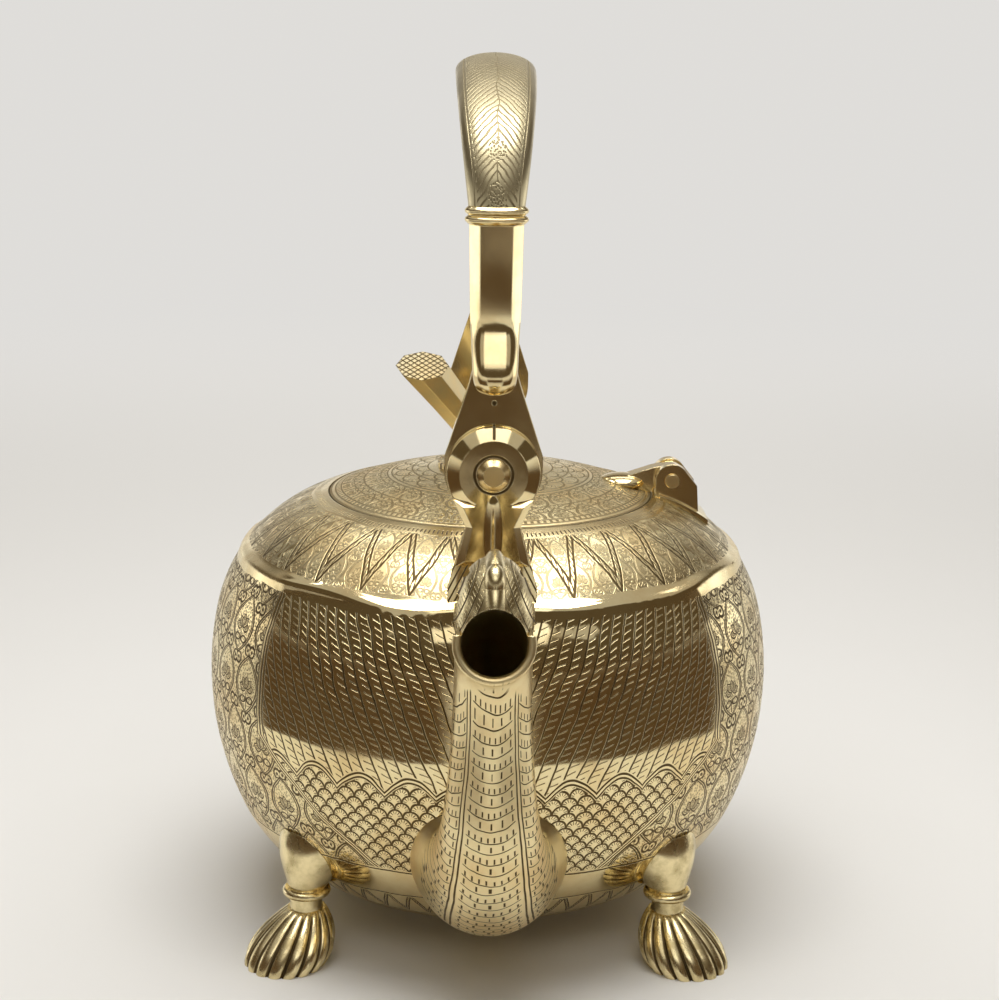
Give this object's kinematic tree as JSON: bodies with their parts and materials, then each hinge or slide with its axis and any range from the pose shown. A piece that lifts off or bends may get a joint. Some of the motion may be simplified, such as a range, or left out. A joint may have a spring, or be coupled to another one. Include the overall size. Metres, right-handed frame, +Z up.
{
  "type": "tea kettle",
  "caption": "Round brass tea kettle on short cast paw feet, with a beak-shaped spout, a side-hinged domed lid and an arched bail handle that swings on riveted lugs.",
  "frame": {"origin": "on the floor plane under the vessel's axis, level with the soles of the feet", "axes": "+Z up, spout towards -Y, lid hinge towards +X, bail axle along Y"},
  "size_m": [0.18, 0.2278, 0.2723],
  "materials": {
    "engraved_brass": "polished pale brass with hand-cut feather, scale and zigzag engraving",
    "polished_brass": "plain mirror polish",
    "cast_brass": "cast and chased, polished on the high parts and dark in the grooves",
    "pin_brass": "filed and worn",
    "inner_brass": "dull, unpolished inside"
  },
  "bodies": {
    "kettle": {"body_shell": "engraved_brass", "spout": "engraved_brass", "base_dish": "polished_brass", "spout_hood": "polished_brass", "front_bail_lug": "polished_brass", "rear_bail_lug": "polished_brass", "hinge_bracket": "polished_brass", "front_right_foot": "cast_brass", "front_left_foot": "cast_brass", "rear_right_foot": "cast_brass", "rear_left_foot": "cast_brass", "lid_hinge_pin": "pin_brass", "front_bail_pin": "pin_brass", "rear_bail_pin": "pin_brass", "front_bail_washer": "pin_brass", "rear_bail_washer": "pin_brass", "lid_seat_ring": "inner_brass"},
    "lid": {"lid_cover": "engraved_brass", "lid_bezel": "inner_brass", "finial_base": "polished_brass", "finial": "cast_brass", "finial_stud": "pin_brass", "finial_nut": "pin_brass", "lid_hinge_strap": "polished_brass"},
    "bail": {"bail_front_leg": "polished_brass", "bail_rear_leg": "polished_brass", "bail_front_collar": "polished_brass", "bail_rear_collar": "polished_brass", "bail_grip": "engraved_brass"}
  },
  "joints": [
    {"name": "lid_hinge", "type": "hinge", "parent": "kettle", "child": "lid", "pos_m": [0.058, 0, 0.13977], "axis": [0, 1, 0], "range_deg": [0, 105]},
    {"name": "bail_swing", "type": "hinge", "parent": "kettle", "child": "bail", "pos_m": [0, 0, 0.15697], "axis": [0, 1, 0], "range_deg": [-118, 28]}
  ]
}
